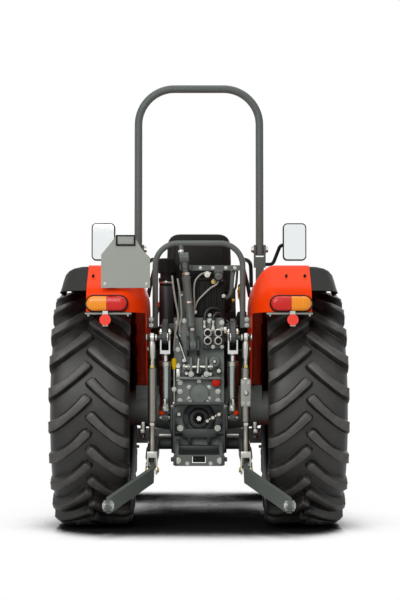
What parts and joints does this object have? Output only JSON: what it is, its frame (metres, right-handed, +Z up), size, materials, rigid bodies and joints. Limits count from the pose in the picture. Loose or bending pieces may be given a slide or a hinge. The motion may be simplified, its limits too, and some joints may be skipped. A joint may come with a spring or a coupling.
{
  "type": "farm tractor",
  "caption": "Open-platform farm tractor with lugged tyres, a folding roll-over hoop, a tilting hood, steered front wheels and a rear three-point hitch.",
  "frame": {"origin": "on the ground under the middle of the machine's length and width", "axes": "+Y forward, +X to the driver's right, +Z up"},
  "size_m": [1.61, 3.63, 2.6775],
  "materials": {
    "tyre_rubber": "matte",
    "wheel_paint": "satin",
    "orange_paint": "gloss",
    "grey_paint": "satin",
    "casting": "matte",
    "dark_casting": "matte",
    "zinc_steel": "satin",
    "black_plastic": "matte",
    "seat_vinyl": "satin",
    "red_lens": "gloss",
    "amber_lens": "gloss",
    "lamp_lens": "gloss",
    "mirror": "gloss",
    "sign_paint": "matte"
  },
  "bodies": {
    "chassis": {"transmission_housing": "casting", "clutch_housing": "casting", "engine_block": "casting", "exhaust": "dark_casting", "front_frame": "casting", "radiator": "dark_casting", "rear_axle_housings": "casting", "front_axle": "casting", "steering_cylinder": "zinc_steel", "dash_cowl": "black_plastic", "platform": "dark_casting", "fender_left": "orange_paint", "fender_right": "orange_paint", "fender_extensions": "black_plastic", "rear_lamps_red": "red_lens", "rear_lamps_amber": "amber_lens", "reflector_strips": "zinc_steel", "reflectors": "red_lens", "sign_plate": "sign_paint", "seat_base": "dark_casting", "seat_cushion": "seat_vinyl", "seat_back": "seat_vinyl", "rops_posts": "grey_paint", "mirror_housings": "black_plastic", "mirror_glass": "mirror", "rear_arch": "grey_paint", "fuel_tank": "black_plastic", "fuel_filler": "black_plastic", "hitch_brackets": "dark_casting", "top_link_bracket": "dark_casting", "remote_couplers": "dark_casting", "pto_guard": "dark_casting", "drawbar_frame": "grey_paint"},
    "rear_wheel_left": {"rear_tyre_left": "tyre_rubber", "rear_rim_left": "wheel_paint"},
    "knuckle_left": {"knuckle_left": "casting"},
    "front_wheel_left": {"front_tyre_left": "tyre_rubber", "front_rim_left": "wheel_paint"},
    "lower_link_left": {"lower_link_left": "grey_paint"},
    "rear_wheel_right": {"rear_tyre_right": "tyre_rubber", "rear_rim_right": "wheel_paint"},
    "knuckle_right": {"knuckle_right": "casting"},
    "front_wheel_right": {"front_tyre_right": "tyre_rubber", "front_rim_right": "wheel_paint"},
    "lower_link_right": {"lower_link_right": "grey_paint"},
    "hood": {"hood": "orange_paint", "grille": "black_plastic", "head_lamps": "lamp_lens"},
    "steering_wheel": {"steering_wheel": "black_plastic"},
    "rops_hoop": {"rops_hoop": "grey_paint"},
    "lift_arms": {"lift_arms": "dark_casting"},
    "lift_rods": {"lift_rods": "grey_paint"},
    "lift_barrels": {"lift_cylinder_barrels": "dark_casting"},
    "lift_pistons": {"lift_cylinder_rods": "zinc_steel"},
    "top_link": {"top_link": "grey_paint"},
    "pto_shaft": {"pto_shaft": "zinc_steel"}
  },
  "joints": [
    {"name": "rear_wheel_left_spin", "type": "hinge", "parent": "chassis", "child": "rear_wheel_left", "pos_m": [-0.59, -0.935, 0.67], "axis": [-1, 0, 0], "continuous": true},
    {"name": "steer_left", "type": "hinge", "parent": "chassis", "child": "knuckle_left", "pos_m": [-0.5, 1.215, 0.435], "axis": [0, 0, 1], "range_deg": [-45, 45]},
    {"name": "front_wheel_left_spin", "type": "hinge", "parent": "knuckle_left", "child": "front_wheel_left", "pos_m": [-0.6, 1.215, 0.435], "axis": [-1, 0, 0], "continuous": true},
    {"name": "hitch_left", "type": "hinge", "parent": "chassis", "child": "lower_link_left", "pos_m": [-0.235, -1.035, 0.47], "axis": [-1, 0, 0], "range_deg": [0, 43]},
    {"name": "rear_wheel_right_spin", "type": "hinge", "parent": "chassis", "child": "rear_wheel_right", "pos_m": [0.59, -0.935, 0.67], "axis": [-1, 0, 0], "continuous": true},
    {"name": "steer_right", "type": "hinge", "parent": "chassis", "child": "knuckle_right", "pos_m": [0.5, 1.215, 0.435], "axis": [0, 0, 1], "range_deg": [-45, 45]},
    {"name": "front_wheel_right_spin", "type": "hinge", "parent": "knuckle_right", "child": "front_wheel_right", "pos_m": [0.6, 1.215, 0.435], "axis": [-1, 0, 0], "continuous": true},
    {"name": "hitch_right", "type": "hinge", "parent": "chassis", "child": "lower_link_right", "pos_m": [0.235, -1.035, 0.47], "axis": [-1, 0, 0], "range_deg": [0, 43]},
    {"name": "steering_wheel_turn", "type": "hinge", "parent": "chassis", "child": "steering_wheel", "pos_m": [0, -0.235, 1.42], "axis": [0, -0.7682, 0.6402], "range_deg": [-450, 450]},
    {"name": "hood_hinge", "type": "hinge", "parent": "chassis", "child": "hood", "pos_m": [0, 0.257, 1.404], "axis": [1, 0, 0], "range_deg": [0, 55]},
    {"name": "rops_fold", "type": "hinge", "parent": "chassis", "child": "rops_hoop", "pos_m": [0, -0.185, 1.64], "axis": [1, 0, 0], "range_deg": [0, 80]},
    {"name": "lift_arm_turn", "type": "hinge", "parent": "chassis", "child": "lift_arms", "pos_m": [0, -1.125, 1.12], "axis": [-1, 0, 0], "range_deg": [0, 60.14]},
    {"name": "lift_rod_swing", "type": "hinge", "parent": "lift_arms", "child": "lift_rods", "pos_m": [0, -1.405, 1.06], "axis": [-1, 0, 0], "range_deg": [-53.66, 0]},
    {"name": "lift_barrel_swing", "type": "hinge", "parent": "chassis", "child": "lift_barrels", "pos_m": [0, -1.205, 0.62], "axis": [-1, 0, 0], "range_deg": [0, 4.9]},
    {"name": "lift_piston_slide", "type": "slide", "parent": "lift_barrels", "child": "lift_pistons", "axis": [0, -0.0784, 0.9969], "range_m": [0, 0.11422]},
    {"name": "top_link_swing", "type": "hinge", "parent": "chassis", "child": "top_link", "pos_m": [-0.033, -1.265, 1.02], "axis": [0.9949, 0.0026, 0.101], "range_deg": [0, 105]},
    {"name": "pto_spin", "type": "hinge", "parent": "chassis", "child": "pto_shaft", "pos_m": [0, -1.175, 0.616], "axis": [0, 1, 0], "continuous": true}
  ],
  "couplings": [
    {"joint": "steer_right", "follows": "steer_left", "ratio": 1},
    {"joint": "steering_wheel_turn", "follows": "steer_left", "ratio": 10},
    {"joint": "hitch_right", "follows": "hitch_left", "ratio": 1},
    {"joint": "lift_arm_turn", "follows": "hitch_left", "ratio": 1.387},
    {"joint": "lift_rod_swing", "follows": "hitch_left", "ratio": -1.2364},
    {"joint": "lift_barrel_swing", "follows": "hitch_left", "ratio": 0.10229},
    {"joint": "lift_piston_slide", "follows": "hitch_left", "m_per_rad": 0.14953}
  ]
}
